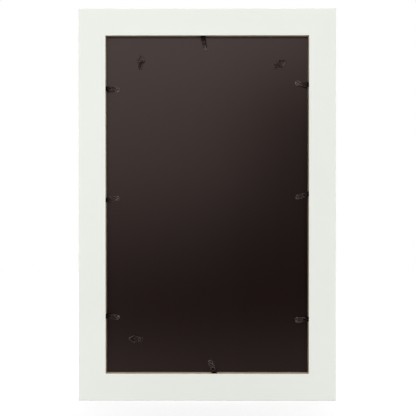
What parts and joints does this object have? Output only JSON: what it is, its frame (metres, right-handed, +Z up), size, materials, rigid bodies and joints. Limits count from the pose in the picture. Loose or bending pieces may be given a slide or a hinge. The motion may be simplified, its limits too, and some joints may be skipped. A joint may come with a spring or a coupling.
{
  "type": "collage photo frame",
  "caption": "Upright wall frame with mitred white rails, glazing, a mat with windows for photos, and a dark backing board held by bending tabs, with ring hangers.",
  "frame": {"origin": "middle of the top rail's back face, in the plane that lies against the wall", "axes": "+Z up with the frame upright, +Y from the wall into the room, +X to the right as seen from behind"},
  "size_m": [0.382, 0.02, 0.582],
  "materials": {
    "white_lacquered_fibreboard": "satin",
    "brown_hardboard": "satin",
    "clear_glass": "gloss",
    "white_mat_card": "matte",
    "plain_paper": "matte",
    "black_steel": "satin",
    "dark_steel_wire": "satin",
    "zinc_steel": "satin"
  },
  "bodies": {
    "frame": {"rail_top": "white_lacquered_fibreboard", "rail_bottom": "white_lacquered_fibreboard", "rail_left": "white_lacquered_fibreboard", "rail_right": "white_lacquered_fibreboard", "corner_nails": "zinc_steel", "glazing": "clear_glass", "mat": "white_mat_card", "insert_sheet": "plain_paper", "backing_board": "brown_hardboard", "tab_roots": "black_steel", "hanger_rivets": "black_steel"},
    "tab_left_upper": {"tab_left_upper": "black_steel"},
    "tab_left_middle": {"tab_left_middle": "black_steel"},
    "tab_left_lower": {"tab_left_lower": "black_steel"},
    "tab_right_upper": {"tab_right_upper": "black_steel"},
    "tab_right_middle": {"tab_right_middle": "black_steel"},
    "tab_right_lower": {"tab_right_lower": "black_steel"},
    "tab_top": {"tab_top": "black_steel"},
    "tab_bottom": {"tab_bottom": "black_steel"},
    "hanger_top_left": {"hanger_strap_top_left": "black_steel"},
    "ring_top_left": {"hanger_ring_top_left": "dark_steel_wire"},
    "hanger_top_right": {"hanger_strap_top_right": "black_steel"},
    "ring_top_right": {"hanger_ring_top_right": "dark_steel_wire"},
    "hanger_bottom_left": {"hanger_strap_bottom_left": "black_steel"},
    "ring_bottom_left": {"hanger_ring_bottom_left": "dark_steel_wire"}
  },
  "joints": [
    {"name": "tab_left_upper_bend", "type": "hinge", "parent": "frame", "child": "tab_left_upper", "pos_m": [-0.149, 0.0018, -0.0985], "axis": [0, 0, -1], "range_deg": [0, 110]},
    {"name": "tab_left_middle_bend", "type": "hinge", "parent": "frame", "child": "tab_left_middle", "pos_m": [-0.14902, 0.0018, -0.26369], "axis": [0.1564, 0, -0.9877], "range_deg": [0, 110]},
    {"name": "tab_left_lower_bend", "type": "hinge", "parent": "frame", "child": "tab_left_lower", "pos_m": [-0.14902, 0.0018, -0.43681], "axis": [-0.1564, 0, -0.9877], "range_deg": [0, 110]},
    {"name": "tab_right_upper_bend", "type": "hinge", "parent": "frame", "child": "tab_right_upper", "pos_m": [0.14904, 0.0018, -0.09258], "axis": [0.2079, 0, 0.9781], "range_deg": [0, 110]},
    {"name": "tab_right_middle_bend", "type": "hinge", "parent": "frame", "child": "tab_right_middle", "pos_m": [0.1491, 0.0018, -0.25512], "axis": [-0.309, 0, 0.9511], "range_deg": [0, 110]},
    {"name": "tab_right_lower_bend", "type": "hinge", "parent": "frame", "child": "tab_right_lower", "pos_m": [0.14902, 0.0018, -0.44126], "axis": [-0.1305, 0, 0.9914], "range_deg": [0, 110]},
    {"name": "tab_top_bend", "type": "hinge", "parent": "frame", "child": "tab_top", "pos_m": [-0.00608, 0.0018, -0.02196], "axis": [-0.9781, 0, -0.2079], "range_deg": [0, 110]},
    {"name": "tab_bottom_bend", "type": "hinge", "parent": "frame", "child": "tab_bottom", "pos_m": [0.01025, 0.0018, -0.52015], "axis": [0.9272, 0, 0.3746], "range_deg": [0, 110]},
    {"name": "hanger_top_left_swivel", "type": "hinge", "parent": "frame", "child": "hanger_top_left", "pos_m": [-0.1, 0.0073, -0.0635], "axis": [0, -1, 0], "continuous": true},
    {"name": "ring_top_left_flip", "type": "hinge", "parent": "hanger_top_left", "child": "ring_top_left", "pos_m": [-0.09927, 0.00547, -0.05754], "axis": [0.9925, 0, -0.1219], "range_deg": [0, 165]},
    {"name": "hanger_top_right_swivel", "type": "hinge", "parent": "frame", "child": "hanger_top_right", "pos_m": [0.1025, 0.0073, -0.064], "axis": [0, -1, 0], "continuous": true},
    {"name": "ring_top_right_flip", "type": "hinge", "parent": "hanger_top_right", "child": "ring_top_right", "pos_m": [0.1077, 0.00547, -0.061], "axis": [0.5, 0, -0.866], "range_deg": [0, 165]},
    {"name": "hanger_bottom_left_swivel", "type": "hinge", "parent": "frame", "child": "hanger_bottom_left", "pos_m": [-0.1015, 0.0073, -0.4715], "axis": [0, -1, 0], "continuous": true},
    {"name": "ring_bottom_left_flip", "type": "hinge", "parent": "hanger_bottom_left", "child": "ring_bottom_left", "pos_m": [-0.1075, 0.00547, -0.4715], "axis": [0, 0, 1], "range_deg": [0, 165]}
  ]
}
